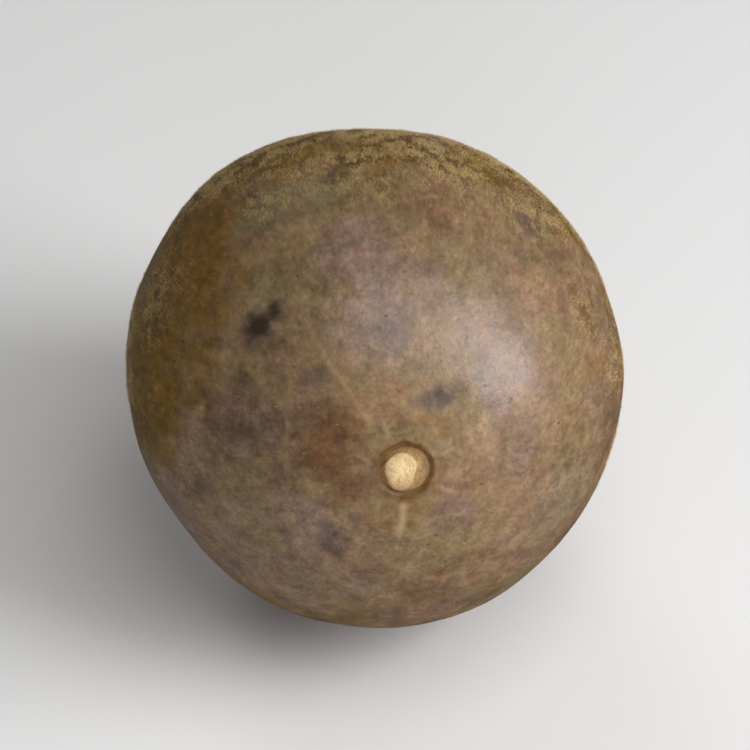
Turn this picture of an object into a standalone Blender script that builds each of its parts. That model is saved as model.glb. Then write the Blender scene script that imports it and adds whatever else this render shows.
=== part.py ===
"""A dried monk fruit: one thin, hard, egg-shaped gourd that lies on a small flat spot.

Run it with blender --background --python part.py, or from Blender's text editor. Lengths are in metres, +Z up.
The mesh is made in the fruit's own frame, where +Z is the stalk end and -Z the blossom end. The object is
then tilted, so that the stalk end faces -Y and a little upwards, as the fruit lies.
"""

import math

import bmesh
import bpy
from mathutils import Matrix, Vector, noise

MM = 0.001

# Driving dimensions
ACROSS = 58.0 * MM  # mean diameter round the middle
LENGTH = 63.0 * MM  # from the stalk end to the blossom end
STALK_SIDE_FULLER = 0.025  # share by which the stalk half is wider than a plain ellipse
MEAN_RADIUS = 0.25 * (ACROSS + LENGTH)
STALK_END_RISE = math.radians(24.0)  # how far the stalk end points above level
REST_SPOT_DEPTH = 0.8 * MM  # how deep the flat spot is cut into the round underside
CUT_SNAP = 0.02 * MM  # points this near the cut count as lying on it
SHARP_ABOVE = math.radians(40.0)  # edges that turn more than this are shaded sharp

# Mesh: rings of points from pole to pole, drawn together near the two scars
POINTS_ROUND = 72
RINGS = 62
RING_GATHERING = 0.80  # 0 spaces the rings evenly, and towards 1 they crowd the poles

# Broad swells and flats of the dried shell: longitude, latitude, spread (degrees) and rise (mm).
# Longitude runs anticlockwise round the stalk end, from +X, and latitude 90 is the stalk itself.
SWELLS = (
    ("full upper left shoulder", 124.0, -18.0, 26.0, 1.00),
    ("flattened crown", 84.0, -23.0, 18.0, -0.55),
    ("full top right", 54.0, -16.0, 22.0, 0.45),
    ("flat lower left flank", 216.0, 12.0, 32.0, -0.85),
    ("flat lower right flank", 314.0, 18.0, 28.0, -0.30),
    ("sunken back", 95.0, -62.0, 26.0, -0.45),
    ("full lower back", 250.0, -48.0, 30.0, 0.45),
)

# Small dents in the shell, given the same way
DENTS = (
    ("bruise", 133.0, 41.0, 4.5, -0.22),
    ("pock above the stalk", 53.0, 74.0, 4.0, -0.12),
    ("pock right of the stalk", 26.0, 66.0, 4.0, -0.10),
    ("pock left of the stalk", 135.0, 62.0, 4.0, -0.10),
    ("dimple on the right side", 350.0, -12.0, 8.0, -0.22),
    ("dimple on the left side", 188.0, -34.0, 8.0, -0.25),
)

# Faint ribs that run from end to end, and the slow unevenness of a skin dried over pulp
RIBS = 9
RIB_RISE = 0.11 * MM
RIB_DRIFT = math.radians(7.0)  # how far the ribs stray from even spacing
UNEVEN_RISE = 0.30 * MM
UNEVEN_SPAN = 15.0 * MM

# Rings round the two ends: distance from the end, half width and rise, all in mm
STALK_SCAR = (
    ("hollow that the stalk sat in", 0.0, 6.5, -0.60),
    ("swollen lip", 4.10, 0.85, 0.26),
    ("groove round the stub", 3.10, 0.52, -0.60),
    ("broken stub, a little domed", 0.0, 2.10, 0.50),
)
BLOSSOM_SCAR = (
    ("shallow hollow", 0.0, 5.0, -0.30),
    ("raised ring", 1.95, 0.50, 0.26),
    ("groove round the button", 1.25, 0.38, -0.34),
    ("button that the style left", 0.0, 0.75, 0.36),
)

RIND_COLOUR = (0.195, 0.125, 0.065, 1.0)
RIND_ROUGHNESS = 0.48


def clear_scene():
    for old in list(bpy.data.objects):
        bpy.data.objects.remove(old, do_unlink=True)


def egg_point(polar, azimuth):
    """A point of the plain egg: polar is the angle from the stalk end, azimuth the angle round the axis."""
    radius = 0.5 * ACROSS * math.sin(polar) * (1.0 + STALK_SIDE_FULLER * math.cos(polar))
    return Vector((radius * math.cos(azimuth), radius * math.sin(azimuth), 0.5 * LENGTH * math.cos(polar)))


def direction(longitude, latitude):
    """The unit vector of a place named in degrees."""
    lon = math.radians(longitude)
    lat = math.radians(latitude)
    return Vector((math.cos(lat) * math.cos(lon), math.cos(lat) * math.sin(lon), math.sin(lat)))


def bell(distance, width):
    """A smooth bump: 1 in the middle, and almost nothing two widths away."""
    return math.exp(-((distance / width) ** 2))


def swell(towards, places):
    """Rise of the listed swells, flats or dents in the direction towards."""
    rise = 0.0
    for _, longitude, latitude, spread, height in places:
        away = math.degrees(towards.angle(direction(longitude, latitude)))
        rise += height * MM * bell(away, spread)
    return rise


def ribs(polar, azimuth):
    """Faint lengthwise ribs, unevenly spaced, that fade out before both ends."""
    strayed = azimuth + RIB_DRIFT * math.sin(2.0 * azimuth)
    return RIB_RISE * math.cos(RIBS * strayed) * math.sin(polar) ** 2


def rings(polar, scar):
    """Rise of one end's scar, by the distance along the skin from that end."""
    distance = polar * MEAN_RADIUS / MM
    return sum(height * MM * bell(distance - where, width) for _, where, width, height in scar)


def skin_point(polar, azimuth):
    """The egg's point, raised along its own direction by every relief of the skin."""
    on_egg = egg_point(polar, azimuth)
    towards = on_egg.normalized()
    rise = swell(towards, SWELLS) + swell(towards, DENTS) + ribs(polar, azimuth)
    rise += UNEVEN_RISE * noise.noise(on_egg / UNEVEN_SPAN)
    rise += rings(polar, STALK_SCAR) + rings(math.pi - polar, BLOSSOM_SCAR)
    return on_egg + towards * rise


def gathered(polar):
    """Moves a ring of points towards the nearer pole, where the scars need them."""
    return polar - 0.5 * RING_GATHERING * math.sin(2.0 * polar)


def shape_skin(bm):
    bmesh.ops.create_uvsphere(bm, u_segments=POINTS_ROUND, v_segments=RINGS, radius=1.0)
    for vert in bm.verts:
        polar = gathered(math.acos(max(-1.0, min(1.0, vert.co.z))))
        vert.co = skin_point(polar, math.atan2(vert.co.y, vert.co.x))


def flatten_underside(bm, down):
    """Cuts the rest spot across the lowest part and closes it with one flat fan of faces."""
    level = max(vert.co.dot(down) for vert in bm.verts) - REST_SPOT_DEPTH
    bmesh.ops.bisect_plane(
        bm,
        geom=bm.verts[:] + bm.edges[:] + bm.faces[:],
        dist=CUT_SNAP,
        plane_co=down * level,
        plane_no=down,
        clear_outer=True,
    )
    rim = [edge for edge in bm.edges if edge.is_boundary]
    for vert in {vert for edge in rim for vert in edge.verts}:
        vert.co += down * (level - vert.co.dot(down))
    spot = bmesh.ops.contextual_create(bm, geom=rim)["faces"]
    bmesh.ops.poke(bm, faces=spot)


def rind_material():
    material = bpy.data.materials.new("rind")
    material.use_nodes = True
    shader = material.node_tree.nodes["Principled BSDF"]
    shader.inputs["Base Color"].default_value = RIND_COLOUR
    shader.inputs["Roughness"].default_value = RIND_ROUGHNESS
    shader.inputs["Metallic"].default_value = 0.0
    return material


def stand_on_ground(fruit):
    """Puts the rest spot at Z = 0, with the origin under the middle of the fruit's box."""
    turn = fruit.rotation_euler.to_matrix()
    points = [turn @ vert.co for vert in fruit.data.vertices]
    low = [min(point[axis] for point in points) for axis in range(3)]
    high = [max(point[axis] for point in points) for axis in range(3)]
    fruit.location = (-0.5 * (low[0] + high[0]), -0.5 * (low[1] + high[1]), -low[2])


def build_fruit(collection):
    tilt = math.pi / 2 - STALK_END_RISE
    bm = bmesh.new()
    shape_skin(bm)
    flatten_underside(bm, Matrix.Rotation(-tilt, 3, "X") @ Vector((0.0, 0.0, -1.0)))
    bmesh.ops.recalc_face_normals(bm, faces=bm.faces[:])
    mesh = bpy.data.meshes.new("monk_fruit")
    bm.to_mesh(mesh)
    bm.free()
    mesh.materials.append(rind_material())
    mesh.shade_smooth()
    mesh.set_sharp_from_angle(angle=SHARP_ABOVE)

    fruit = bpy.data.objects.new("monk_fruit", mesh)
    collection.objects.link(fruit)
    fruit.rotation_euler = (tilt, 0.0, 0.0)
    stand_on_ground(fruit)


def main():
    clear_scene()
    parts = bpy.data.collections.new("monk fruit")
    bpy.context.scene.collection.children.link(parts)
    build_fruit(parts)


main()
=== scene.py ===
# %% [markdown]
# # A dried monk fruit
#
# A monk fruit is a small gourd. It is picked green, dried slowly, and sold whole: a brittle shell about a
# millimetre thick, closed all round, with light dry pulp inside. Green fruit is covered in short soft down.
# On a dried one most of that down has rubbed off, which leaves a brown, slightly polished shell, with scurfy
# yellow patches where some of it stayed.
#
# The solid that this script loads already has the fruit's true size, its swells and dents, and the rings of
# its two ends. What is added here is everything finer: a smooth shell with the last wrinkles, its colours and
# its polish, the pale broken stalk, the button that the flower left, and the down itself, hair by hair.

# %% Load the fruit's solid
import math

import bmesh
import bpy
import numpy as np
from mathutils import Matrix, Vector, noise


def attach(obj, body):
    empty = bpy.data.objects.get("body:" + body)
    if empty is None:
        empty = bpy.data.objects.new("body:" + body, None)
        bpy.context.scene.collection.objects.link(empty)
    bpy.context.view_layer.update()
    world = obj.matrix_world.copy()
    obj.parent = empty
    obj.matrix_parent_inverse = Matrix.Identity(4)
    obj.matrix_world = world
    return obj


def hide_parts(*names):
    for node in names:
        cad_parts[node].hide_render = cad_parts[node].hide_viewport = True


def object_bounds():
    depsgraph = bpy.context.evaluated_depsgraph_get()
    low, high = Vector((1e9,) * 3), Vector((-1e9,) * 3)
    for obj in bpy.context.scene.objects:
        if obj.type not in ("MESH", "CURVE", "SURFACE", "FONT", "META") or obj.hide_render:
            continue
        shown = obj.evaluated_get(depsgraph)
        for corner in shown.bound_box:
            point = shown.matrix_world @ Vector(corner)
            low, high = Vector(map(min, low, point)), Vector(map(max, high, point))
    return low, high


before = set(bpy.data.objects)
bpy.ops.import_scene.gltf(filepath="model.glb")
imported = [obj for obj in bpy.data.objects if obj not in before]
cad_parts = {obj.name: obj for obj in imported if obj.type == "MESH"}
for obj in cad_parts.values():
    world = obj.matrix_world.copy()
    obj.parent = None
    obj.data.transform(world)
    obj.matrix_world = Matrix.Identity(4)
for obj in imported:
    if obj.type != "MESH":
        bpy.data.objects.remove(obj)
cad_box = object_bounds()
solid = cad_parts["monk_fruit"]
MM = 0.001
print("solid, in mm:", [round((high - low) / MM, 1) for low, high in zip(*cad_box)])

# %% [markdown]
# The fruit lies tilted, so its own axis comes first. Everything on a fruit is arranged round that axis: the
# rings of the two ends, the faint ribs, the lie of the down. The axis can be read from the solid, because its
# mesh runs together at the stalk end and at the blossom end, where dozens of edges meet in one point.

# %% Find the two ends and the axis between them
SAME_POINT = 0.001 * MM  # points nearer than this are one

merged = bmesh.new()
merged.from_mesh(solid.data)
bmesh.ops.remove_doubles(merged, verts=merged.verts, dist=SAME_POINT)
crowded = sorted(merged.verts, key=lambda vert: len(vert.link_edges), reverse=True)[:2]
stalk_end, blossom_end = sorted((vert.co.copy() for vert in crowded), key=lambda place: place.y)
merged.free()

axis = (stalk_end - blossom_end).normalized()
centre = (stalk_end + blossom_end) / 2
tilt = math.acos(axis.z)
turn = np.array(Matrix.Rotation(tilt, 3, "X"))
MEAN_RADIUS = 0.25 * (58.0 + 63.0) * MM  # a quarter of its width and its length together
print("stalk end points", round(90.0 - math.degrees(tilt), 1), "degrees above level")

# %% [markdown]
# Blender's operators act on whatever is selected, so a helper clears the selection first, and another applies
# a finished piece's modifiers and its placing. Each piece ends up with its object at the origin, unturned,
# and its place in its mesh. The sphere operator has a quirk: it lists the faces in another order each time,
# and the hairs are dealt out by that list. So its faces are sorted, and every run gives the same fruit.

# %% Helpers for modelling by operator
MANY_POINTS = 10000  # more than the sphere has


def deselect_all():
    bpy.ops.object.select_all(action="DESELECT")


def new_piece(name):
    """Names the primitive that was just added."""
    piece = bpy.context.object
    piece.name = piece.data.name = name
    return piece


def rank(item):
    """A number for an edge or a face, made of its three lowest points. No other one has the same."""
    lowest = sorted(vert.index for vert in item.verts)[:3]
    return sum(index * MANY_POINTS**place for place, index in enumerate(reversed(lowest)))


def put_in_order(piece):
    """Sorts the edges and faces, whose order the sphere operator leaves to chance."""
    mesh = bmesh.new()
    mesh.from_mesh(piece.data)
    mesh.edges.sort(key=rank)
    mesh.faces.sort(key=rank)
    mesh.to_mesh(piece.data)
    mesh.free()


def bake_in(piece):
    """Applies every modifier, then the object's place, turn and scale."""
    deselect_all()
    piece.select_set(True)
    bpy.context.view_layer.objects.active = piece
    for modifier in list(piece.modifiers):
        bpy.ops.object.modifier_apply(modifier=modifier.name)
    bpy.ops.object.transform_apply(location=True, rotation=True, scale=True)


def smooth_with(piece, levels):
    """Adds a subdivision surface, the same in the viewport and in the render."""
    smoother = piece.modifiers.new("smooth", "SUBSURF")
    smoother.levels = smoother.render_levels = levels


def select_faces(piece, test):
    """In edit mode, selects only the faces that pass the test."""
    bpy.ops.mesh.select_all(action="DESELECT")
    mesh = bmesh.from_edit_mesh(piece.data)
    for face in mesh.faces:
        if test(face):
            face.select_set(True)
    bmesh.update_edit_mesh(piece.data)


# %% [markdown]
# ## The shell
#
# The solid is made of flat triangles about 2.5 mm wide, which would glint one by one in a soft light. The
# shell could be sculpted anew, but then it might drift from the solid. So a sphere with the same number of
# points is wrapped onto it, and then subdivided twice: the points stay where the solid has them, and the
# surface between them becomes smooth. The rings of points are drawn together towards the two ends first,
# because the scars there need finer faces than the flanks do.

# %% Wrap a sphere onto the solid
POINTS_ROUND = 72
RINGS = 62
RING_GATHERING = 0.80  # 0 spaces the rings evenly, and towards 1 they crowd the two ends
WRAP_RADIUS = 40 * MM  # outside the fruit everywhere
SHELL_LEVELS = 2

deselect_all()
bpy.ops.mesh.primitive_uv_sphere_add(
    segments=POINTS_ROUND, ring_count=RINGS, radius=WRAP_RADIUS, location=centre, rotation=(tilt, 0, 0)
)
rind = new_piece("rind")
put_in_order(rind)
for vert in rind.data.vertices:
    polar = vert.co.angle(Vector((0, 0, 1)))
    around = math.atan2(vert.co.y, vert.co.x)
    gathered = polar - 0.5 * RING_GATHERING * math.sin(2.0 * polar)
    level = WRAP_RADIUS * math.sin(gathered)
    vert.co = (level * math.cos(around), level * math.sin(around), WRAP_RADIUS * math.cos(gathered))

wrap = rind.modifiers.new("wrap", "SHRINKWRAP")
wrap.target = solid
wrap.wrap_method = "PROJECT"
wrap.use_positive_direction = False
wrap.use_negative_direction = True
smooth_with(rind, SHELL_LEVELS)
bake_in(rind)
bpy.ops.object.shade_smooth()
print("shell:", len(rind.data.polygons), "faces")

# %% [markdown]
# A place on the fruit is named as on a globe whose north pole is the stalk end: longitude runs round it, with
# 0 on the right, and latitude 90 is the stalk itself. Numpy holds these for all points at once, so that every
# later map, of relief or of colour, is a short formula. The noise in a map takes a width in mm and a shift,
# and the shift keeps any two maps from being alike.

# %% Longitude, latitude and distance from each end, for every point


def points_of(piece):
    flat = np.empty(len(piece.data.vertices) * 3)
    piece.data.vertices.foreach_get("co", flat)
    return flat.reshape(-1, 3)


def direction(longitude, latitude):
    """The unit vector, in the fruit's own frame, of a place named in degrees."""
    lon, lat = np.radians(longitude), np.radians(latitude)
    return np.array([np.cos(lat) * np.cos(lon), np.cos(lat) * np.sin(lon), np.sin(lat)])


def smooth_step(value, start, end):
    share = np.clip((value - start) / (end - start), 0.0, 1.0)
    return share * share * (3.0 - 2.0 * share)


def bell(distance, width):
    return np.exp(-((distance / width) ** 2))


rind_points = points_of(rind)
own = (rind_points - np.array(centre)) @ turn
towards = own / np.linalg.norm(own, axis=1)[:, None]
longitude = np.arctan2(towards[:, 1], towards[:, 0])
from_stalk = np.arccos(np.clip(towards[:, 2], -1.0, 1.0)) * MEAN_RADIUS / MM
from_blossom = math.pi * MEAN_RADIUS / MM - from_stalk


def from_place(lon, lat):
    """Distance in mm, along the shell, from a named place to every point."""
    return np.arccos(np.clip(towards @ direction(lon, lat), -1.0, 1.0)) * MEAN_RADIUS / MM


def cloud(span, shift, stretch=1.0):
    """Soft noise, -1 to 1, in patches about span mm wide, drawn out lengthwise by stretch."""
    scaled = own / (span * MM) / np.array([1.0, 1.0, stretch]) + shift
    return np.array([noise.noise(Vector(place)) for place in scaled])


print("from end to end along the shell:", from_stalk.max().round(1), "mm")

# %% [markdown]
# ## The last wrinkles
#
# The pulp shrinks as it dries, and pulls the shell into soft unevenness, a few hundredths of a millimetre
# deep, with faint puckers that run out from each end like the gathers of a drawstring bag. They are real
# shapes, and catch the light along the edge of its reflection, so they are moved in the mesh, not left to a
# bump pattern. A displace modifier could do the unevenness, but not the puckers, so both are one formula. It
# also fills part of the groove round each end's scar, which at full depth would look like a black ring.

# %% Raise and sink the shell
LENGTHENED = 1.6  # most marks on the shell are this much longer than wide
UNEVEN = ((7.0, 0.075), (2.6, 0.034), (1.3, 0.014))  # patch width and height, in mm
PUCKERS = 13
PUCKER_STRAY = 3.0  # radians by which the puckers stray from even spacing
ENDS = (  # for the puckers, then for what fills the groove: mm from the end, half width and height in mm
    (from_stalk, (6.0, 2.4, 0.024), (3.1, 0.55, 0.40)),
    (from_blossom, (4.0, 1.8, 0.0192), (1.25, 0.4, 0.22)),
)

rise = np.zeros(len(own))
for number, (span, height) in enumerate(UNEVEN):
    rise += height * cloud(span, 11.0 * number + 3.0, LENGTHENED)

puckers = np.cos(longitude * PUCKERS + PUCKER_STRAY * cloud(6.0, 41.0))
for distance, pucker, groove in ENDS:
    rise += pucker[2] * puckers * bell(distance - pucker[0], pucker[1])
    rise += groove[2] * bell(distance - groove[0], groove[1])

moved = rind_points + (towards * rise[:, None] * MM) @ turn.T
moved[:, 2] = np.maximum(moved[:, 2], 0.0)
rind.data.vertices.foreach_set("co", moved.ravel())
rind.data.update()
print("relief from", rise.min().round(3), "to", rise.max().round(3), "mm")

# %% [markdown]
# ## Maps of the shell's colours
#
# The shell isn't one brown. Where it has been rubbed bare it is a greyish mauve, where skin that was under
# down still shows it is golden ochre, bronze or olive, and between them lie russet, umber and plum. Each
# colour has a map from 0 to 1, stored in the mesh as an attribute that the material reads. A map is a few
# patches at chosen places, whose edges stray with noise, and on the sides where none is placed, noise alone.
# Some placed patches also paint light and shade. The ochre, bronze and umber ones that ring the outline of
# the side in view, and the bronze ones on its left flank, darken the shell there as painted shade. Greyer
# mauve ones on the lower left are partly painted light thrown up from below, and the mauve one under the
# window's reflection greys the colour there, a painted tint of that highlight.

# %% Where each colour lies
PATCHES = {  # longitude, latitude, half width in mm, strength
    "olive": (
        (114, 21, 5, 0.9), (104, 23, 4, 0.9), (66, 41, 7, 0.3), (335, 45, 6, 0.7), (194, 47, 5, 0.5),
        (174, 58, 3, 0.7), (122, 40, 5, 0.6), (258, 44, 6, 0.5), (300, 38, 6, 0.5), (88, 34, 4, 0.4),
    ),
    "russet": (
        (76, 27, 5, 0.35), (38, 9, 3, 0.9), (31, 34, 5, 0.5), (10, 50, 7, 0.35), (103, 74, 4, 0.6),
        (340, 76, 4, 0.5), (42, 14, 3, 0.6), (127, 8, 2.5, 0.9), (300, 54, 4, 0.4), (18, 66, 4, 0.5),
    ),
    # painted shade as well as colour: the ochre patches near latitude 0 ring the outline of the side in view
    # and darken it towards its edge
    "ochre": (
        (134, 9, 8, 1.0), (144, 11, 7, 1.0), (190, 23, 4, 0.2), (136, 22, 6, 0.8), (146, 24, 5, 0.8),
        (141, 34, 5, 0.5), (128, -6, 9, 1.0), (168, -10, 10, 1.0), (108, -4, 8, 0.8), (88, 8, 7, 0.7),
        (62, 6, 6, 0.7), (39, 4, 6, 0.9), (18, 6, 6, 0.9), (0, 2, 7, 0.8), (148, 36, 4, 0.5),
        (128, 33, 4, 0.4), (174, 58, 2.5, 0.3), (50, 80, 3.2, 0.45), (120, 65, 3, 0.35), (80, -22, 9, 0.8),
        (23, 30, 3, 0.5), (270, 83, 4, 0.4), (24, 33, 3, 0.5), (14, 36, 3, 0.5), (4, 20, 4, 0.6),
    ),
    # painted shade as well as colour: the umber patches at 20, -2 and 352, 26 darken the shell near its
    # right-hand edge
    "umber": (
        (163, 74, 5, 0.85), (190, 80, 3, 0.7), (275, 54, 5, 0.4), (300, 62, 3, 0.4), (130, 76, 3, 0.4),
        (205, 34, 4, 0.3), (250, 80, 3, 0.4), (156, 40, 4, 0.3), (96, 14, 3, 0.4), (352, 26, 6, 0.6),
        (20, -2, 7, 0.6), (48, 31, 5, 0.2), (38, 24, 5, 0.3), (75, 32, 3, 0.4),
    ),
    "plum": (
        (165, 55, 6, 0.65), (146, 66, 4, 0.4), (182, 65, 4, 0.5), (190, 42, 4, 0.4), (252, 63, 3, 0.5),
        (312, 73, 3, 0.5), (138, 56, 3, 0.45), (356, 66, 3, 0.45), (50, 23, 2.5, 0.6), (226, 68, 2.5, 0.6),
    ),
    # partly painted light: the patches at 212, 46 and 236, 48 lighten and grey the lower left as light thrown
    # up from below would, and the one at 38, 61 greys the colour under the window's reflection, a painted
    # tint of that highlight
    "mauve": (
        (97, 43, 5, 0.9), (95, 60, 6, 0.8), (84, 54, 5, 0.7), (50, 25, 3, 0.5), (356, 66, 4, 0.6),
        (312, 73, 4, 0.5), (252, 61, 4, 0.5), (208, 64, 5, 0.6), (198, 52, 6, 0.4), (58, 58, 6, 0.5),
        (322, 54, 5, 0.4), (212, 46, 7, 0.5), (236, 48, 7, 0.4), (318, 40, 6, 0.4), (204, 24, 7, 0.7),
        (222, 30, 7, 0.5), (38, 61, 5, 0.6), (336, 48, 6, 0.4),
    ),
    # painted shade as well as colour: the bronze patches near latitude 0 ring the outline of the side in
    # view, and those from longitude 150 to 185 darken the left flank
    "bronze": (
        (157, 10, 6, 0.9), (163, 16, 6, 1.0), (170, 20, 5.5, 1.0), (178, 17, 6, 0.95), (184, 13, 4, 0.5),
        (160, 26, 5, 0.95), (168, 29, 5, 0.95), (176, 28, 4.5, 0.85), (152, 34, 5, 0.55), (160, 40, 4, 0.45),
        (140, 4, 6, 0.7), (165, -4, 8, 0.9), (88, 2, 8, 0.7), (110, -2, 8, 0.7), (60, 2, 7, 0.7),
        (30, 2, 7, 0.7), (8, 4, 7, 0.7), (118, 36, 3, 0.4), (350, 8, 6, 0.5),
    ),
}
DRIFTS = {  # on the sides with no placed patch: patch width in mm, and the level that the noise must pass
    "ochre": (13.0, -0.02), "olive": (10.0, 0.05), "russet": (8.0, 0.20), "umber": (9.0, 0.15),
    "plum": (9.0, 0.20), "mauve": (12.0, 0.10), "bronze": (11.0, 0.05),
}

# %% Paint the colour maps
STRAY = ((2.1, 5.5, 57.0), (1.1, 2.0, 63.0))  # mm by which an edge strays, width of the noise, shift
STRAY_FROM = 4.0  # mm, the half width from which a patch's edge strays in full
PATCH_EDGE = (1.45, 0.35)  # where a patch ends and where it is full, as shares of its half width
PLACED_MIDDLE = (98, 42)  # longitude and latitude round which the patches are placed
PLACED_EDGE = (-0.15, 0.30)  # cosines of the angle from there between which they give way to noise
DRIFT_EDGE = (-0.25, 0.45)  # from that level, where a drift starts and where it is full
DRIFT_STRENGTH = 0.7

warp = sum(far * cloud(span, shift) for far, span, shift in STRAY)


def patch(lon, lat, wide):
    """1 inside a patch, 0 outside, with a soft edge that strays."""
    away = from_place(lon, lat) + warp * min(1.0, wide / STRAY_FROM)
    return smooth_step(away, PATCH_EDGE[0] * wide, PATCH_EDGE[1] * wide)


def patches(places):
    return np.max([strength * patch(lon, lat, wide) for lon, lat, wide, strength in places], axis=0)


hidden = 1.0 - smooth_step(towards @ direction(*PLACED_MIDDLE), *PLACED_EDGE)
maps = {}
for number, (tint, places) in enumerate(PATCHES.items()):
    span, threshold = DRIFTS[tint]
    start, full = (threshold + step for step in DRIFT_EDGE)
    drift = smooth_step(cloud(span, 20.0 + 9.0 * number), start, full)
    maps[tint] = np.maximum(patches(places), hidden * DRIFT_STRENGTH * drift)

# %% [markdown]
# Dark marks are bruises from the picking and drying. The largest has two lobes. The others are small, and
# bluish grey. Each is a spot that noise eats into, and the largest are dented in the solid too.

# %% Paint the bruises
BRUISES = (  # longitude, latitude, half width in mm, strength
    (134.5, 46.6, 1.95, 0.95), (127.5, 46.8, 1.3, 0.90), (131, 46.2, 1.0, 0.75), (137, 45.4, 1.0, 0.7),
    (59, 73.5, 1.2, 0.75), (68, 75, 1.1, 0.6), (76, 76, 0.7, 0.35), (31, 67, 1.3, 0.40),
    (127, 64, 1.0, 0.42), (133, 62, 1.1, 0.38), (226, 66, 1.1, 0.42), (225, 75, 1.1, 0.40),
    (229, 61, 1.0, 0.35), (215, 70, 0.8, 0.30), (50, 23, 1.6, 0.32), (51, 35, 0.9, 0.28),
    (95, 39, 1.1, 0.25), (40, 15, 0.6, 0.3), (205, -35, 1.6, 0.9), (20, -40, 1.2, 0.8),
    (75, -62, 1.4, 0.6), (285, -30, 1.0, 0.7), (330, -62, 1.5, 0.7),
)
BRUISE_STRAY = 0.5  # share of its half width by which a bruise's edge strays
BRUISE_EDGE = (1.5, 0.4)

eaten = BRUISE_STRAY * cloud(1.1, 71.0)
bruise = np.zeros(len(own))
for lon, lat, wide, strength in BRUISES:
    away = from_place(lon, lat) + eaten * wide
    bruise = np.maximum(bruise, strength * smooth_step(away, BRUISE_EDGE[0] * wide, BRUISE_EDGE[1] * wide))
maps["bruise"] = bruise

# %% [markdown]
# Pale hairlines run out from both ends, where the skin was stretched as the fruit grew. Those at the stalk
# are placed one by one, and the fainter ones at the blossom end by chance.

# %% Paint the hairlines
HAIRLINES = (  # longitude, mm from the stalk end where it starts and ends, half width in mm, strength
    (264, 3.4, 9.4, 0.42, 1.0), (121, 6.0, 21.0, 0.32, 0.35), (110, 3.8, 7.0, 0.22, 0.4),
    (18, 3.8, 6.6, 0.22, 0.6), (330, 3.8, 7.4, 0.24, 0.5), (232, 3.9, 6.2, 0.50, 0.5),
    (158, 3.8, 6.4, 0.18, 0.4), (350, 4.2, 7.0, 0.5, 0.5),
)
HAIRLINE_STRAY = 0.05  # radians
HAIRLINE_START = 0.8  # mm over which a hairline begins
RAYS = 13
RAY_SEED = 3
RAY_UNEVEN = 0.4  # share of the spacing
RAY_START = 1.4  # mm from the blossom end
RAY_REACH = (2.6, 5.5)
RAY_WIDTH = (0.10, 0.30)
RAY_STRENGTH = (0.1, 0.5)

wander = HAIRLINE_STRAY * cloud(4.0, 77.0)


def line_out(distance, lon, start, end, wide):
    """1 along a line that runs out from one end, with distance in mm from that end."""
    turned = np.angle(np.exp(1j * (longitude - math.radians(lon) + wander)))
    aside = turned * MEAN_RADIUS / MM * np.sin(distance * MM / MEAN_RADIUS)
    along = smooth_step(distance, start, start + HAIRLINE_START)
    return along * smooth_step(distance, end, 0.5 * (start + end)) * bell(aside, wide)


hairline = np.zeros(len(own))
for lon, start, end, wide, strength in HAIRLINES:
    hairline = np.maximum(hairline, strength * line_out(from_stalk, lon, start, end, wide))
ray_random = np.random.default_rng(RAY_SEED)
for number in range(RAYS):
    lon = 360.0 * (number + ray_random.uniform(-RAY_UNEVEN, RAY_UNEVEN)) / RAYS
    reach = ray_random.uniform(*RAY_REACH)
    wide = ray_random.uniform(*RAY_WIDTH)
    ray = ray_random.uniform(*RAY_STRENGTH) * line_out(from_blossom, lon, RAY_START, reach, wide)
    hairline = np.maximum(hairline, ray)
maps["hairline"] = hairline

# %% [markdown]
# The down has stayed where nothing rubs: in a cap over the top and back, along the flanks, and in crumbs
# elsewhere. Inside those patches it is worn here and there, and stands in small tufts. These maps also say
# where the hairs are planted, further on.

# %% Paint the down, and store every map
DOWN_PATCHES = (
    (88, -18, 13, 1.0), (60, -14, 11, 0.95), (118, -16, 10, 0.95), (30, -6, 8, 0.8), (172, -8, 9, 0.7),
    (24, 30, 3.5, 0.4), (10, 20, 5, 0.45), (340, 14, 6, 0.4), (205, -30, 11, 0.8), (340, -35, 11, 0.85),
    (270, -50, 12, 0.8), (74, 11, 6, 0.8), (96, 11, 6, 0.8), (46, 8, 5, 0.8), (150, 12, 6, 0.4),
    (112, 10, 5, 0.6), (92, 20, 6, 0.35), (70, 20, 5, 0.35), (112, 18, 4, 0.35), (52, 18, 5, 0.4),
)
WORN_EDGE = (-0.45, 0.25)
WORN_DOWN = 0.25  # share of the down that is left where it is worn
TUFT_EDGE = (-0.35, 0.35)

unworn = smooth_step(cloud(7.0, 83.0) + 0.7 * cloud(2.4, 89.0), *WORN_EDGE)
maps["down"] = patches(DOWN_PATCHES) * (WORN_DOWN + (1.0 - WORN_DOWN) * unworn)
maps["tufts"] = smooth_step(cloud(1.3, 95.0, LENGTHENED) + 0.8 * cloud(0.7, 99.0), *TUFT_EDGE)
maps["stalk_mm"] = from_stalk
maps["blossom_mm"] = from_blossom
for name, values in maps.items():
    rind.data.attributes.new(name, "FLOAT", "POINT").data.foreach_set("value", values.astype(np.float32))
    print(name, "runs from", values.min().round(2), "to", values.max().round(2))

# %% [markdown]
# ## Camera and light
#
# The camera looks down at 44 degrees and a little from the left, through a long lens, so that the fruit
# keeps the shape it has from a step away.

# %% Camera
CAMERA_AZIMUTH = math.radians(-7.0)
CAMERA_ELEVATION = math.radians(43.6)
LENS = 200.0  # mm
FRUIT_SHARE = 0.66  # of the picture's width

data = bpy.data.cameras.new("camera")
data.lens = LENS
camera = bpy.data.objects.new("camera", data)
bpy.context.collection.objects.link(camera)
middle = (cad_box[0] + cad_box[1]) / 2
width = cad_box[1].x - cad_box[0].x
reach = width / FRUIT_SHARE * LENS / data.sensor_width


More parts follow.
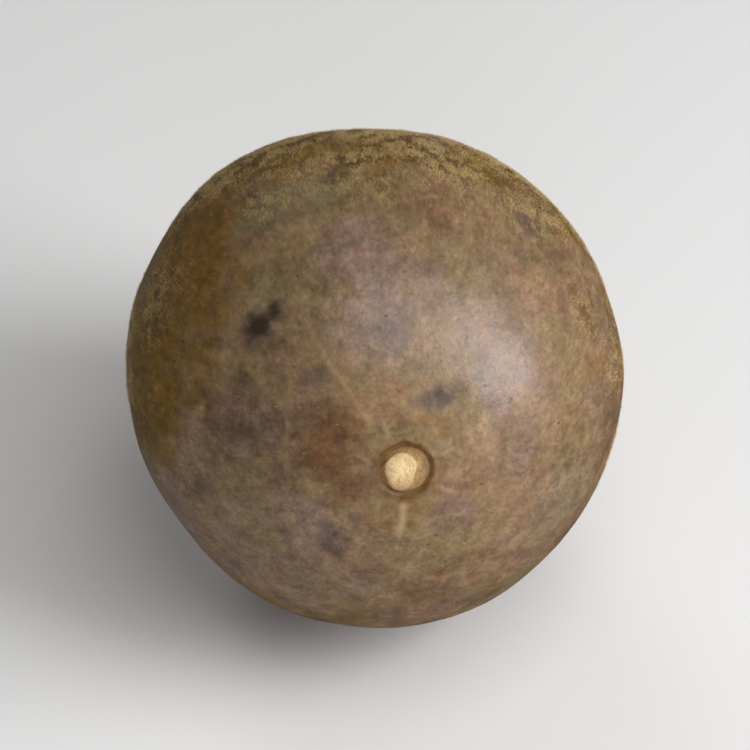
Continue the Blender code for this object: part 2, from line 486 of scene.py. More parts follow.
def bearing(azimuth, elevation):
    """The unit vector that points from the fruit towards a bearing: azimuth 0 is the front, 90 the right."""
    level = math.cos(elevation)
    return Vector((math.sin(azimuth) * level, -math.cos(azimuth) * level, math.sin(elevation)))


back = bearing(CAMERA_AZIMUTH, CAMERA_ELEVATION)
camera.location = middle + back * reach
camera.rotation_euler = back.to_track_quat("Z", "Y").to_euler()
bpy.context.scene.camera = camera
print("camera", round(reach, 3), "m away")

# %% Helpers for colours and materials


def linear(hex_colour):
    """An sRGB hex colour as the linear values that Blender's sockets take."""
    parts = [int(hex_colour[start : start + 2], 16) / 255.0 for start in (1, 3, 5)]
    return [c / 12.92 if c <= 0.04045 else ((c + 0.055) / 1.055) ** 2.4 for c in parts] + [1.0]


def add(tree, kind, inputs=None, out=0, **settings):
    """Adds a shader node and gives its output. inputs holds values or other nodes' outputs, by socket."""
    made = tree.nodes.new("ShaderNode" + kind)
    for name, value in settings.items():
        setattr(made, name, value)
    for name, value in (inputs or {}).items():
        if isinstance(value, bpy.types.NodeSocket):
            tree.links.new(value, made.inputs[name])
        else:
            made.inputs[name].default_value = value
    return made.outputs[out]


def new_material(name):
    """A material, its node tree, and its Principled shader."""
    material = bpy.data.materials.new(name)
    material.use_nodes = True
    return material, material.node_tree, material.node_tree.nodes["Principled BSDF"]


# %% [markdown]
# The floor is a wide shallow dish, flat in the middle and swept up all round, so that no view shows an edge
# or a horizon. It is a disc whose rim is extruded, widened and bevelled round. Its paint is matt and nearly
# white, so the eye sees a soft shadow and no reflection. The floor is kept out of the fruit's own gloss too,
# where so pale a floor would grey the lower edge of the shell.

# %% Floor
FLOOR_RADIUS = 1.1
FLOOR_POINTS = 96
WALL_HEIGHT = 0.7
WALL_LEAN = 1.15  # how much wider the wall is at its top
SWEEP = 0.45  # radius of the rounded corner
SWEEP_STEPS = 12
CORNER_ANGLE = math.radians(50.0)  # only edges that turn more than this are rounded

deselect_all()
bpy.ops.mesh.primitive_circle_add(vertices=FLOOR_POINTS, radius=FLOOR_RADIUS, fill_type="NGON")
floor = new_piece("floor")
bpy.ops.object.mode_set(mode="EDIT")
bpy.ops.mesh.extrude_region_move(TRANSFORM_OT_translate={"value": (0, 0, WALL_HEIGHT)})
bpy.ops.transform.resize(value=(WALL_LEAN, WALL_LEAN, 1.0))
select_faces(floor, lambda face: len(face.verts) > 4 and face.calc_center_median().z > 0.5 * WALL_HEIGHT)
bpy.ops.mesh.delete(type="ONLY_FACE")
bpy.ops.mesh.select_all(action="SELECT")
bpy.ops.mesh.normals_make_consistent(inside=True)
bpy.ops.object.mode_set(mode="OBJECT")
rounding = floor.modifiers.new("rounding", "BEVEL")
rounding.width = SWEEP
rounding.segments = SWEEP_STEPS
rounding.limit_method = "ANGLE"
rounding.angle_limit = CORNER_ANGLE
bake_in(floor)
bpy.ops.object.shade_smooth()
print("floor:", len(floor.data.polygons), "faces")

paint, tree, shader = new_material("matt white paint")
shader.inputs["Base Color"].default_value = linear("#dcdbd9")
shader.inputs["Roughness"].default_value = 0.7
floor.data.materials.append(paint)
floor.visible_glossy = False

# %% [markdown]
# A tall window stands to the right, and its reflection is the soft pale patch above and right of the stalk. A
# weaker light overhead draws that reflection out upwards, and lifts the top. The left side stays in half
# shade. Two weak lights fill in: a low cool one in front for the light that a pale table gives back, and one
# behind for the far wall. Each of those has a narrow beam, or it would burn a white patch into the floor, and
# is kept out of the gloss.

# %% Lights
WORLD_STRENGTH = 0.13
LIGHTS = (  # name, size in m, W, azimuth and elevation in degrees, distance in m, tone, and beam in degrees
    ("window", (0.31, 0.42), 4.0, 63.0, 31.0, 0.60, "#fbfcff", None),
    ("overhead", (0.50, 0.50), 2.1, 30.0, 68.0, 0.70, "#ffffff", None),
    ("bounce", (0.70, 0.12), 0.33, -7.0, 3.0, 0.75, "#e6ebff", 40.0),
    ("far wall", (0.50, 0.30), 0.14, -165.0, 26.0, 0.80, "#ffffff", 40.0),
)

world = bpy.data.worlds.new("studio")
world.use_nodes = True
background = world.node_tree.nodes["Background"]
background.inputs["Color"].default_value = linear("#f4f3f0")
background.inputs["Strength"].default_value = WORLD_STRENGTH
bpy.context.scene.world = world
bpy.context.scene.view_settings.view_transform = "Standard"


def soft_light(name, size, power, azimuth, elevation, distance, tone, beam):
    """A soft box that looks at the fruit from a bearing. One with a beam angle isn't mirrored."""
    light = bpy.data.lights.new(name, "AREA")
    light.shape = "RECTANGLE"
    light.size, light.size_y = size
    light.energy = power
    light.color = linear(tone)[:3]
    lamp = bpy.data.objects.new(name, light)
    bpy.context.collection.objects.link(lamp)
    out = bearing(math.radians(azimuth), math.radians(elevation))
    lamp.location = middle + out * distance
    lamp.rotation_euler = out.to_track_quat("Z", "Y").to_euler()
    if beam:
        light.spread = math.radians(beam)
        lamp.visible_glossy = False


for settings in LIGHTS:
    soft_light(*settings)
print(len(LIGHTS), "lights")

# %% [markdown]
# ## The shell's finish
#
# Dried gourd shell is a hard, woody skin, something between leather and varnished wood: it reflects light in
# a broad soft patch, a little sharper where it is rubbed. Its colour varies at every size: patches of a
# centimetre from the maps, mottling of 3 mm, a grain of 1 mm drawn out from end to end, and pores. The
# grain on a real fruit is nearer 0.3 mm, and is drawn at 0.45 mm, so that it shows. One helper measures in
# millimetres from a place on the fruit, and another gives noise of a width in millimetres.

# %% Shell material: a frame of reference in millimetres
COLOUR = {"out": 2, "data_type": "RGBA"}  # settings by which a Mix node mixes colours
LENGTHWISE = 0.5  # marks are drawn out to twice their width
STREAKED = 0.22  # and streaks to about five times


def fruit_mm(tree, origin):
    """Coordinates in mm from a place on the fruit, with Z along the fruit's own axis."""
    place = add(tree, "TexCoord", out="Object")
    turned = {"Vector": place, "Location": origin, "Rotation": (tilt, 0, 0), "Scale": (MM, MM, MM)}
    return add(tree, "Mapping", turned, vector_type="TEXTURE")


def speckle(tree, where, span, detail=3.0, low=0.35, high=0.65, roughness=0.55, into=(0.0, 1.0)):
    """Noise in patches span mm wide, whose values from low to high are spread out between two others."""
    grains = {"Vector": where, "Scale": 1 / span, "Detail": detail, "Roughness": roughness}
    noisy = add(tree, "TexNoise", grains)
    spread = {"Value": noisy, "From Min": low, "From Max": high, "To Min": into[0], "To Max": into[1]}
    return add(tree, "MapRange", spread)


shell, tree, shader = new_material("dried gourd shell")
own_mm = fruit_mm(tree, centre)
lengthwise = add(tree, "Mapping", {"Vector": own_mm, "Scale": (1.0, 1.0, LENGTHWISE)})
streaks = add(tree, "Mapping", {"Vector": own_mm, "Scale": (1.0, 1.0, STREAKED)})
painted = {name: add(tree, "Attribute", out="Fac", attribute_name=name) for name in maps}

# %% Shell material: the patches of colour
GROUND = (9.0, "#7c6248", "#735f3f")  # mm, and the two browns under all the rest
TINTS = {  # in the order in which they cover each other
    "olive": "#716345", "russet": "#7e5c41", "ochre": "#715018", "bronze": "#6c500f", "umber": "#604328",
    "plum": "#5b4537", "mauve": "#7a6354",
}
TINT_FROM, TINT_TO = 0.22, 0.85  # levels of a map between which its colour comes in
EDGE_CRUMBS = (1.6, 0.275)  # mm, the crumbs in a patch's edge, and how far they break it
EDGE_BAYS = (5.0, 0.16)

ground = speckle(tree, own_mm, GROUND[0], detail=2.0)
colour = add(tree, "Mix", {0: ground, 6: linear(GROUND[1]), 7: linear(GROUND[2])}, **COLOUR)
crumbs = speckle(tree, own_mm, EDGE_CRUMBS[0], low=0.2, high=0.8, into=(-EDGE_CRUMBS[1], EDGE_CRUMBS[1]))
bays = speckle(tree, own_mm, EDGE_BAYS[0], low=0.3, high=0.7, into=(-EDGE_BAYS[1], EDGE_BAYS[1]))
edge = add(tree, "Math", {0: crumbs, 1: bays}, operation="ADD")
for name, tint in TINTS.items():
    level = add(tree, "Math", {0: painted[name], 1: edge}, operation="ADD")
    level = add(tree, "MapRange", {"Value": level, "From Min": TINT_FROM, "From Max": TINT_TO})
    colour = add(tree, "Mix", {0: level, 6: colour, 7: linear(tint)}, **COLOUR)

# %% Shell material: mottling and grain
MOTTLES = (  # span in mm, detail, darkest and lightest, in which frame
    (3.6, 4.0, 0.80, 1.20, own_mm),
    (1.2, 4.0, 0.80, 1.20, lengthwise),
    (0.45, 3.0, 0.82, 1.18, lengthwise),
    (0.6, 3.0, 0.90, 1.10, streaks),
)
heights = []
for span, detail, dark, light, where in MOTTLES:
    mottle = speckle(tree, where, span, detail, low=0.32, high=0.68, roughness=0.6)
    heights.append(mottle)
    shade = add(tree, "MapRange", {"Value": mottle, "To Min": dark, "To Max": light})
    colour = add(tree, "Mix", {0: 1.0, 6: colour, 7: shade}, blend_type="MULTIPLY", **COLOUR)

BLUSHES = (  # span in mm, where the noise starts to show, frame, strength, colour: one warm and one cool
    (2.4, 0.45, own_mm, 0.35, "#946a48"),
    (3.1, 0.50, lengthwise, 0.30, "#6c6a60"),
)
for span, low, where, strength, tint in BLUSHES:
    blush = speckle(tree, where, span, low=low, high=0.75)
    blush = add(tree, "Math", {0: blush, 1: strength}, operation="MULTIPLY")
    colour = add(tree, "Mix", {0: blush, 6: colour, 7: linear(tint)}, blend_type="OVERLAY", **COLOUR)

# %% [markdown]
# The golden parts carry two kinds of specks that the rubbed parts have lost, dark and rusty. The pores are
# pinpricks in the cells of a Voronoi pattern. They lie in groups, which another noise picks out.

# %% Shell material: specks, pores and marks
SPECKS = (  # span in mm, from what noise to what noise, frame, strength, colour
    (0.9, 0.50, 0.68, lengthwise, 0.55, "#3c2a10"),
    (1.2, 0.52, 0.72, own_mm, 0.45, "#a9762c"),
)
PORE_SPACING = 1.5  # mm
PORE_SIZE = 0.14  # share of the spacing
PORE_CORE = 0.4  # share of a pore that is at its darkest
PORE_DEPTH = 0.75
PORE_GROUPS = (4.5, 0.45, 0.60)  # mm, and from what noise to what noise
PORE_COLOUR = "#3a2a1a"

golden = add(tree, "Math", {0: painted["bronze"], 1: painted["ochre"]}, operation="MAXIMUM")
for span, low, high, where, strength, tint in SPECKS:
    speck = speckle(tree, where, span, detail=4.0, low=low, high=high, roughness=0.65)
    speck = add(tree, "Math", {0: golden, 1: speck}, operation="MULTIPLY")
    speck = add(tree, "Math", {0: speck, 1: strength}, operation="MULTIPLY")
    colour = add(tree, "Mix", {0: speck, 6: colour, 7: linear(tint)}, **COLOUR)

pores = add(tree, "TexVoronoi", {"Vector": lengthwise, "Scale": 1 / PORE_SPACING, "Randomness": 1.0})
prick = {"Value": pores, "From Min": PORE_SIZE, "From Max": PORE_CORE * PORE_SIZE, "To Max": PORE_DEPTH}
groups = speckle(tree, own_mm, PORE_GROUPS[0], detail=2.0, low=PORE_GROUPS[1], high=PORE_GROUPS[2])
pores = add(tree, "Math", {0: add(tree, "MapRange", prick), 1: groups}, operation="MULTIPLY")
colour = add(tree, "Mix", {0: pores, 6: colour, 7: linear(PORE_COLOUR)}, **COLOUR)

FAINT_BRUISE, DEEP_BRUISE = linear("#574a4a"), linear("#2a1b0c")
HAIRLINE_COLOUR, HAIRLINE_STRENGTH = linear("#a98f6a"), 0.6

mark = painted["bruise"]
bruised = add(tree, "Mix", {0: mark, 6: FAINT_BRUISE, 7: DEEP_BRUISE}, **COLOUR)
colour = add(tree, "Mix", {0: mark, 6: colour, 7: bruised}, **COLOUR)
pale = add(tree, "Math", {0: painted["hairline"], 1: HAIRLINE_STRENGTH}, operation="MULTIPLY")
colour = add(tree, "Mix", {0: pale, 6: colour, 7: HAIRLINE_COLOUR}, **COLOUR)

# %% [markdown]
# Where down has stayed, it has dried to a yellowish scurf: pale flecks half a millimetre to one across, drawn
# out lengthwise, with the dark skin showing in the gaps. The flecks are part of the colour and the bump here,
# and the hairs that stand on them are a piece of their own.

# %% Shell material: scurf
SCURF_CRUMBS = 0.6  # mm
TUFT_CRUMBS = (0.55, (-0.6, 0.6))  # mm, and what they take from or add to the tufts
TUFT_FROM, TUFT_TO = 0.2, 0.8
GAP_COLOUR, GAP_STRENGTH = linear("#3a270f"), 0.85
SCURF_COLOUR, SCURF_STRENGTH = linear("#b4935c"), 0.8

crumbs = speckle(tree, lengthwise, SCURF_CRUMBS, low=0.40, high=0.60, roughness=0.65)
tuft = speckle(tree, lengthwise, TUFT_CRUMBS[0], low=0.36, high=0.64, roughness=0.65, into=TUFT_CRUMBS[1])
tuft = add(tree, "Math", {0: painted["tufts"], 1: tuft}, operation="ADD")
tuft = add(tree, "MapRange", {"Value": tuft, "From Min": TUFT_FROM, "From Max": TUFT_TO})
scurf = add(tree, "Math", {0: tuft, 1: crumbs}, operation="MULTIPLY")
scurf = add(tree, "Math", {0: painted["down"], 1: scurf}, operation="MULTIPLY")
gap = add(tree, "Math", {0: 1.0, 1: tuft}, operation="SUBTRACT")
gap = add(tree, "Math", {0: painted["down"], 1: gap}, operation="MULTIPLY")
for layer, strength, tint in ((gap, GAP_STRENGTH, GAP_COLOUR), (scurf, SCURF_STRENGTH, SCURF_COLOUR)):
    share = add(tree, "Math", {0: layer, 1: strength}, operation="MULTIPLY")
    colour = add(tree, "Mix", {0: share, 6: colour, 7: tint}, **COLOUR)

# %% [markdown]
# Each end has rings of its own colours: a brown groove round the stalk's scar, and a pale ring round the
# blossom's. The darkest brown lies in the stalk's groove, and is partly painted shade. A colour ramp laid
# over the distance from the end draws them, and noise makes them stray.

# %% Shell material: the rings of the two ends
RING_STRAY = (1.6, 0.3)  # mm, the width of the noise and how far a ring strays
RING_GRAIN = (0.8, (0.72, 1.15))  # mm, and how dark and light the grain makes a ring
RING_SOFTNESS = 0.7  # how much of the shell's own mottling shows through
RING_REACH = 10.0  # mm that a ramp covers
RINGS_OF = {  # mm from the end and colour, then where the rings fade into the shell
    # the darker browns from 2.8 to 3.25 mm lie in the groove, and are partly painted shade
    "stalk_mm": (
        (
            (0.0, "#8f7044"), (2.4, "#86683e"), (2.8, "#7c5e36"),
            (3.0, "#73542f"), (3.25, "#7c5e36"), (3.8, "#8f7044"),
        ),
        (3.0, 3.6),
    ),
    "blossom_mm": (
        (
            (0.0, "#8a6e44"), (0.9, "#8a6e44"), (1.2, "#7d6240"),
            (1.6, "#b09668"), (2.1, "#a08558"), (2.8, "#866b48"),
        ),
        (1.6, 2.9),
    ),
}
stray = speckle(tree, own_mm, RING_STRAY[0], low=0.2, high=0.8, into=(-RING_STRAY[1], RING_STRAY[1]))
grain = speckle(tree, own_mm, RING_GRAIN[0], into=RING_GRAIN[1])
for name, (rings, (full_to, gone_by)) in RINGS_OF.items():
    distance = add(tree, "Math", {0: painted[name], 1: stray}, operation="ADD")
    share = add(tree, "Math", {0: distance, 1: RING_REACH}, operation="DIVIDE")
    ringed = add(tree, "ValToRGB", {"Fac": share})
    stops = ringed.node.color_ramp.elements
    while len(stops) < len(rings):
        stops.new(0.5)
    for stop, (at, ring_colour) in zip(stops, rings):
        stop.position = at / RING_REACH
        stop.color = linear(ring_colour)
    ringed = add(tree, "Mix", {0: RING_SOFTNESS, 6: ringed, 7: colour}, blend_type="SOFT_LIGHT", **COLOUR)
    ringed = add(tree, "Mix", {0: 1.0, 6: ringed, 7: grain}, blend_type="MULTIPLY", **COLOUR)
    near = {"Value": distance, "From Min": full_to, "From Max": gone_by, "To Min": 1.0, "To Max": 0.0}
    colour = add(tree, "Mix", {0: add(tree, "MapRange", near), 6: colour, 7: ringed}, **COLOUR)
tree.links.new(colour, shader.inputs["Base Color"])

# %% Shell material: polish and fine relief
MATT, RUBBED = 0.42, 0.30  # roughness of plain and of rubbed skin
GRAIN_ROUGHNESS = 0.10
SCURF_ROUGHNESS = 0.30
RELIEF = ((heights[2], 0.012), (heights[1], 0.030), (scurf, 0.060))  # height and depth in mm
GLOSS = 0.46

rough = add(tree, "MapRange", {"Value": painted["mauve"], "To Min": MATT, "To Max": RUBBED})
for layer, more in ((heights[1], GRAIN_ROUGHNESS), (scurf, SCURF_ROUGHNESS)):
    rough = add(tree, "Math", {0: layer, 1: more, 2: rough}, operation="MULTIPLY_ADD")
tree.links.new(rough, shader.inputs["Roughness"])

relief = {}
for height, depth in RELIEF:
    normal = add(tree, "Bump", {"Height": height, "Strength": 1.0, "Distance": depth * MM, **relief})
    relief = {"Normal": normal}
tree.links.new(normal, shader.inputs["Normal"])
shader.inputs["Specular IOR Level"].default_value = GLOSS
rind.data.materials.append(shell)
print("shell material:", len(tree.nodes), "nodes")

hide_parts("monk_fruit")
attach(rind, "root")

# %% [markdown]
# ## The stub of the stalk
#
# The stalk snaps off short when the fruit is picked. What stays is a dry knob of pale fibre, like the end of
# a broken matchstick, off centre on a flat brown collar that the stalk widened into. Each is a cylinder whose
# top is inset in rings and raised, and then torn by noise. Both are modelled upright at the origin, and stood
# on the stalk end.

# %% Helpers for the pieces at the two ends
DISC_POINTS = 48
DISC_DEPTH = 1.0 * MM
TORN_DEPTH = 0.4 * MM  # how far down the tearing reaches


def stand_on(piece, place, angle):
    """Puts a piece that was modelled upright at the origin onto the fruit, and applies its modifiers."""
    piece.location = place
    piece.rotation_euler = (angle, 0, 0)
    bake_in(piece)
    bpy.ops.object.shade_smooth()
    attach(piece, "root")
    print(piece.name, "has", len(piece.data.polygons), "faces")


def jitter(place, span, shift):
    """Noise from -1 to 1, in lumps span mm wide, for pieces modelled at the origin."""
    return noise.noise(Vector(place) / (span * MM) + Vector((shift, shift, shift)))


def broken_disc(name, radius, steps, outline, torn):
    """A cylinder, its top inset and raised in steps. Two functions bend its outline and tear its top."""
    deselect_all()
    bpy.ops.mesh.primitive_cylinder_add(
        vertices=DISC_POINTS, radius=radius, depth=DISC_DEPTH, location=(0, 0, -DISC_DEPTH / 2)
    )
    piece = new_piece(name)
    bake_in(piece)
    bpy.ops.object.mode_set(mode="EDIT")
    select_faces(piece, lambda face: face.normal.z > 0.9)
    for inward, upward in steps:
        bpy.ops.mesh.inset(thickness=inward * MM)
        bpy.ops.transform.translate(value=(0, 0, upward * MM))
    bpy.ops.mesh.poke()
    bpy.ops.mesh.select_all(action="SELECT")
    bpy.ops.mesh.subdivide(number_cuts=1)
    bpy.ops.object.mode_set(mode="OBJECT")
    for vert in piece.data.vertices:
        x, y, z = vert.co
        wide = outline(math.atan2(y, x), x, y)
        raised = torn(x, y) * MM if z > -TORN_DEPTH else 0.0
        vert.co = (x * wide, y * wide, z + raised)
    smooth_with(piece, 1)
    return piece


# %% The stub
STUB_RADIUS = 1.76 * MM
STUB_STEPS = ((0.25, 0.14), (0.40, 0.07), (0.45, 0.03))  # mm inwards and mm upwards
STUB_SINK = 0.02 * MM
STUB_ASIDE = 0.50 * MM


def stub_outline(around, x, y):
    """Taller than wide, flat along the top and drawn to a blunt point below."""
    tall = 0.24 * math.sin(around) ** 2 + 0.03 * math.sin(2 * around)
    return 1.0 + tall + 0.05 * math.sin(3 * around) + 0.06 * jitter((x, y, 0), 1.2, 2.0)


def stub_torn(x, y):
    """Rise in mm: lumps of two sizes, and a slope up to the right."""
    return 0.12 * jitter((x, y, 0), 0.8, 5.0) + 0.06 * jitter((x, y, 0), 0.25, 8.0) + 0.05 * x / MM


stub = broken_disc("stalk_stub", STUB_RADIUS, STUB_STEPS, stub_outline, stub_torn)
stand_on(stub, stalk_end - axis * STUB_SINK - Vector((STUB_ASIDE, 0, 0)), tilt)

# %% The collar
COLLAR_RADIUS = 2.72 * MM
COLLAR_STEPS = ((0.25, 0.12), (0.50, 0.12), (0.60, 0.10))
COLLAR_SINK = 0.45 * MM


def collar_outline(around, x, y):
    """Nearly round, with an edge that strays."""
    return 1.0 + 0.03 * math.sin(2 * around + 1.0) + 0.05 * jitter((x, y, 0), 1.6, 12.0)


def collar_torn(x, y):
    """The same as the stub's, and flatter."""
    return 0.12 * jitter((x, y, 0), 0.9, 15.0) + 0.06 * jitter((x, y, 0), 0.3, 18.0) + 0.03 * x / MM


collar = broken_disc("stalk_collar", COLLAR_RADIUS, COLLAR_STEPS, collar_outline, collar_torn)
stand_on(collar, stalk_end - axis * COLLAR_SINK, tilt)

# %% [markdown]
# Dry stalk is pale, straw-like wood: matt, and cream where it was torn fresh, tan where its edge has
# weathered. Its fibres run along the stalk, so the torn end shows their cut tips as pale and dark grains.
# Real tips are a tenth of a millimetre wide, and are drawn at 0.28 mm, so that they show.

# %% Stalk material
STRAW_LIGHT, STRAW_TAN, STRAW_DARK = linear("#d4ba88"), linear("#aa885d"), linear("#80623c")
FRESH_MIDDLE = (-0.30, 0.45, 0)  # mm from the stalk end
FRESH_TO_TAN = (0.6, 2.3)  # mm from that middle
TAN_TO_DARK = (2.4, 2.9)
WEATHER_STRAY = (0.9, 0.35)  # mm, the width of the noise and how far it moves those edges
TIP_WIDTH = 0.28  # mm
TIP_STRENGTH = 0.25
TIP_DEPTH = 0.05 * MM

straw, tree, shader = new_material("dry stalk fibre")
end_mm = fruit_mm(tree, stalk_end)
flat = add(tree, "VectorMath", {0: end_mm, 1: (1, 1, 0)}, operation="MULTIPLY")
away = add(tree, "VectorMath", {0: flat, 1: FRESH_MIDDLE}, out="Value", operation="DISTANCE")
stray = speckle(tree, end_mm, WEATHER_STRAY[0], low=0.2, high=0.8, into=(-WEATHER_STRAY[1], WEATHER_STRAY[1]))
away = add(tree, "Math", {0: away, 1: stray}, operation="ADD")
straw_colour = STRAW_LIGHT
for (start, end), tint in ((FRESH_TO_TAN, STRAW_TAN), (TAN_TO_DARK, STRAW_DARK)):
    outer = add(tree, "MapRange", {"Value": away, "From Min": start, "From Max": end})
    straw_colour = add(tree, "Mix", {0: outer, 6: straw_colour, 7: tint}, **COLOUR)
tips = speckle(tree, end_mm, TIP_WIDTH)
share = add(tree, "Math", {0: tips, 1: TIP_STRENGTH}, operation="MULTIPLY")
straw_colour = add(tree, "Mix", {0: share, 6: straw_colour, 7: STRAW_TAN}, blend_type="MULTIPLY", **COLOUR)
tree.links.new(straw_colour, shader.inputs["Base Color"])
tips_bump = add(tree, "Bump", {"Height": tips, "Strength": 1.0, "Distance": TIP_DEPTH})
tree.links.new(tips_bump, shader.inputs["Normal"])
shader.inputs["Roughness"].default_value = 0.75
stub.data.materials.append(straw)

# %% [markdown]
# ## The button that the flower left
#
# At the other end the style dried up to a hard little knob, sitting in its ring. It is a sphere flattened,
# lobed, and pinched up at its tip.

# %% The blossom button
BUTTON_RADIUS = 0.85 * MM
BUTTON_FLATNESS = 0.4
BUTTON_LOBES = (5, 0.10)  # how many, and how far they stand out
BUTTON_UNEVEN = 0.08
TIP_RISE = 0.14 * MM
TIP_SPREAD = 0.25 * MM
BUTTON_SINK = 0.08 * MM

deselect_all()
bpy.ops.mesh.primitive_uv_sphere_add(segments=20, ring_count=12, radius=BUTTON_RADIUS)
button = new_piece("blossom_button")
put_in_order(button)
for vert in button.data.vertices:
    x, y, z = vert.co
    lobes = 1.0 + BUTTON_LOBES[1] * math.cos(BUTTON_LOBES[0] * math.atan2(y, x))
    lobes += BUTTON_UNEVEN * jitter((x, y, z), 0.7, 3.0)
    tip = TIP_RISE * math.exp(-((math.hypot(x, y) / TIP_SPREAD) ** 2)) if z > 0 else 0.0
    vert.co = (x * lobes, y * lobes, BUTTON_FLATNESS * z + tip)
smooth_with(button, 1)
stand_on(button, blossom_end + axis * BUTTON_SINK, tilt + math.pi)

# %% [markdown]
# The collar and the button are cork: the skin that a plant grows over a wound. It is matt, brown and crumbly,
# so the eye sees grains of a quarter millimetre in two browns, darker towards the edge, and no reflection.

# %% Cork for the collar and the button
CORKS = (  # material, piece, dark and pale brown, its middle, and how many mm from there its edge is
    ("corky stalk scar", collar, "#6e512c", "#b4925f", stalk_end, 2.7),
    ("corky blossom scar", button, "#6a4f2e", "#b59868", blossom_end, 1.0),
)
CORK_LUMPS = 1.1  # mm
CORK_GRAIN = 0.25
CORK_DEPTH = 0.06 * MM
EDGE_STRAY = 0.15  # share of the way to the edge by which the dark edge strays
DARK_FROM, DARK_BY = 0.75, 1.1  # where it starts to darken and is dark, as shares of that way

for name, piece, dark, pale, end, wide in CORKS:
    cork, tree, shader = new_material(name)
    place = add(tree, "TexCoord", out="Object")
    in_mm = add(tree, "Mapping", {"Vector": place, "Scale": (1 / MM, 1 / MM, 1 / MM)})
    grain = speckle(tree, in_mm, CORK_GRAIN, low=0.30, high=0.70)
    lumps = add(tree, "Math", {0: speckle(tree, in_mm, CORK_LUMPS), 1: 0.5}, operation="MULTIPLY")
    light = add(tree, "Math", {0: grain, 1: 0.5, 2: lumps}, operation="MULTIPLY_ADD")
    away = add(tree, "VectorMath", {0: in_mm, 1: end / MM}, out="Value", operation="DISTANCE")
    away = add(tree, "Math", {0: grain, 1: EDGE_STRAY * wide, 2: away}, operation="MULTIPLY_ADD")
    limits = {"From Min": DARK_FROM * wide, "From Max": DARK_BY * wide, "To Min": 1.0, "To Max": 0.0}
    inner = add(tree, "MapRange", {"Value": away, **limits})
    light = add(tree, "Math", {0: light, 1: inner}, operation="MULTIPLY")
    browns = add(tree, "Mix", {0: light, 6: linear(dark), 7: linear(pale)}, **COLOUR)
    tree.links.new(browns, shader.inputs["Base Color"])
    crumbs = add(tree, "Bump", {"Height": grain, "Strength": 1.0, "Distance": CORK_DEPTH})
    tree.links.new(crumbs, shader.inputs["Normal"])
    shader.inputs["Roughness"].default_value = 0.8
    piece.data.materials.append(cork)

# %% [markdown]
# ## The down
#
# The hairs are about half a millimetre long, and lie down towards the blossom end. Real ones are 0.02 mm
# thick, and are drawn a little thicker, so that they show. One hair is modelled, a three-sided cone, and
# copied tens of thousands of times by numpy, because an operator or a particle system for each would be
# slow. They are planted at random, more where the maps say that down has stayed in tufts.

# %% One hair
HAIR_THICK = 0.034 * MM  # at the root
deselect_all()
bpy.ops.mesh.primitive_cone_add(
    vertices=3, radius1=HAIR_THICK / 2, radius2=0, depth=1.0, location=(0, 0, 0.5)
)
hair = new_piece("one_hair")
bake_in(hair)
hair_points = points_of(hair)
hair_faces = [list(face.vertices) for face in hair.data.polygons]
bpy.data.objects.remove(hair)
print("one hair:", len(hair_points), "points,", len(hair_faces), "faces")

# %% Where the hairs are planted
SEED = 7
HAIRS = 96000
PIECES = 3
BARE = 0.002  # share of full density on the shell that looks bare
BETWEEN_TUFTS = 0.02
BRUISE_CLEAR = 1.5  # how strongly a bruise keeps hairs off
STALK_CLEAR = (4.0, 8.0)  # mm from the end where the first hairs stand, and where they stand in full
BLOSSOM_CLEAR = (1.6, 3.0)
KEEP_OFF_FLOOR = 0.7 * MM

random = np.random.default_rng(SEED)
shell_points = points_of(rind)
quads = np.array([list(face.vertices) for face in rind.data.polygons])
area = np.array([face.area for face in rind.data.polygons])
normals = np.array([list(face.normal) for face in rind.data.polygons])

density = maps["down"] * (BETWEEN_TUFTS + (1.0 - BETWEEN_TUFTS) * maps["tufts"] ** 2) + BARE
density *= 1.0 - np.minimum(1.0, BRUISE_CLEAR * maps["bruise"])
density *= smooth_step(from_stalk, *STALK_CLEAR) * smooth_step(from_blossom, *BLOSSOM_CLEAR)
chance = density[quads].mean(axis=1) * area
chosen = random.choice(len(quads), HAIRS, p=chance / chance.sum())
u, v = random.random((2, HAIRS, 1))
corner = shell_points[quads[chosen]]
near_side = corner[:, 0] * (1 - u) + corner[:, 1] * u
far_side = corner[:, 3] * (1 - u) + corner[:, 2] * u
roots = near_side * (1 - v) + far_side * v
clear = roots[:, 2] > KEEP_OFF_FLOOR
chosen, roots = chosen[clear], roots[clear]
most = np.bincount(chosen).max() / (area.mean() / MM**2)
print(len(roots), "hairs, at most", round(float(most)), "to a mm2")

# %% Lay each hair down
HAIR_LENGTH = (0.22, 0.52)  # mm
LIFT = (12.0, 48.0)  # degrees above the shell
ROOT_DEPTH = 0.02 * MM
TANGLE = 0.55  # radians by which a hair strays from its neighbours
SWIRL = 0.9  # radians by which the whole lie of the down bends to and fro
SWIRL_SPANS = (6 * MM, 5 * MM)  # over these lengths across and upwards

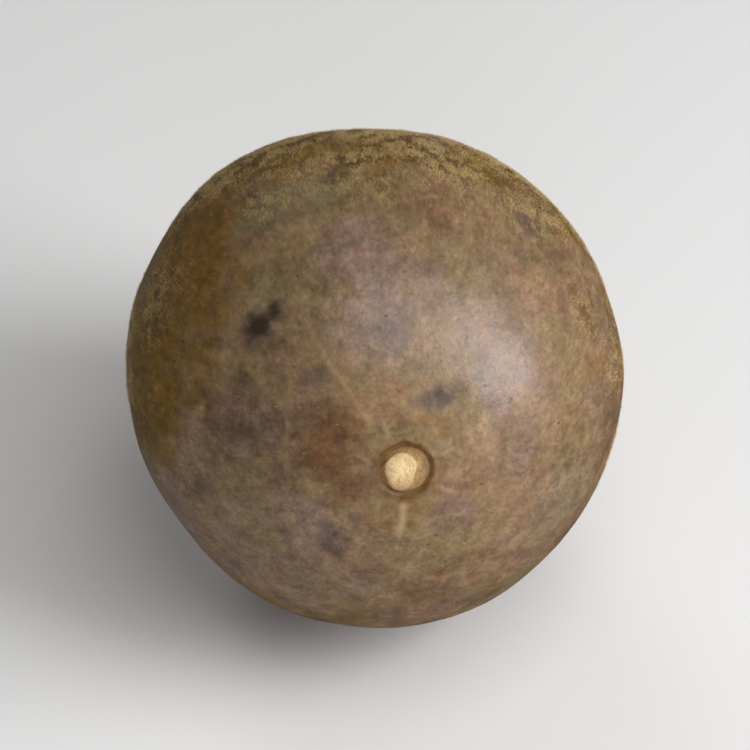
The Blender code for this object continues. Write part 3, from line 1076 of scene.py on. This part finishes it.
count = len(roots)
upward = normals[chosen]
lengthways = np.cross(np.cross(upward, -np.array(axis)), upward)
lengthways /= np.linalg.norm(lengthways, axis=1)[:, None]
sideways = np.cross(upward, lengthways)
bend = np.sin(roots[:, :1] / SWIRL_SPANS[0]) * np.cos(roots[:, 2:] / SWIRL_SPANS[1])
swirl = random.normal(0.0, TANGLE, (count, 1)) + SWIRL * bend
lay = lengthways * np.cos(swirl) + sideways * np.sin(swirl)
lift = np.radians(random.uniform(*LIFT, (count, 1)))
along = lay * np.cos(lift) + upward * np.sin(lift)
across = np.cross(along, upward)
across /= np.linalg.norm(across, axis=1)[:, None]
third = np.cross(along, across)
length = random.uniform(*HAIR_LENGTH, (count, 1)) * MM

placed = (
    roots[:, None, :]
    - upward[:, None, :] * ROOT_DEPTH
    + across[:, None, :] * hair_points[None, :, 0:1]
    + third[:, None, :] * hair_points[None, :, 1:2]
    + along[:, None, :] * hair_points[None, :, 2:3] * length[:, None, :]
)

# %% [markdown]
# Dried down is plant fibre, dull and straw-coloured, so the eye sees a pale haze at the edges and no glint. A
# little sheen gives the haze. Each hair has a shade of its own between two browns, kept in an attribute. The
# hairs are shared out over three pieces, from the stalk side to the back, because one would be too heavy.

# %% Copy the hair into three pieces
fibre, tree, shader = new_material("dried plant down")
hair_shade = add(tree, "Attribute", out="Fac", attribute_name="shade")
hair_colour = add(tree, "Mix", {0: hair_shade, 6: linear("#6f5528"), 7: linear("#c8ab6c")}, **COLOUR)
tree.links.new(hair_colour, shader.inputs["Base Color"])
shader.inputs["Roughness"].default_value = 0.6
shader.inputs["Sheen Weight"].default_value = 0.3

shade = random.random(count)
order = np.argsort(roots[:, 1])
for number, batch in enumerate(np.array_split(order, PIECES)):
    starts = range(0, len(batch) * len(hair_points), len(hair_points))
    faces = [[point + start for point in face] for start in starts for face in hair_faces]
    mesh = bpy.data.meshes.new("down_%d" % (number + 1))
    mesh.from_pydata(placed[batch].reshape(-1, 3), [], faces)
    shades = np.repeat(shade[batch], len(hair_points)).astype(np.float32)
    mesh.attributes.new("shade", "FLOAT", "POINT").data.foreach_set("value", shades)
    mesh.materials.append(fibre)
    tuft = bpy.data.objects.new(mesh.name, mesh)
    bpy.context.collection.objects.link(tuft)
    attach(tuft, "root")
    print(tuft.name, len(faces), "faces")
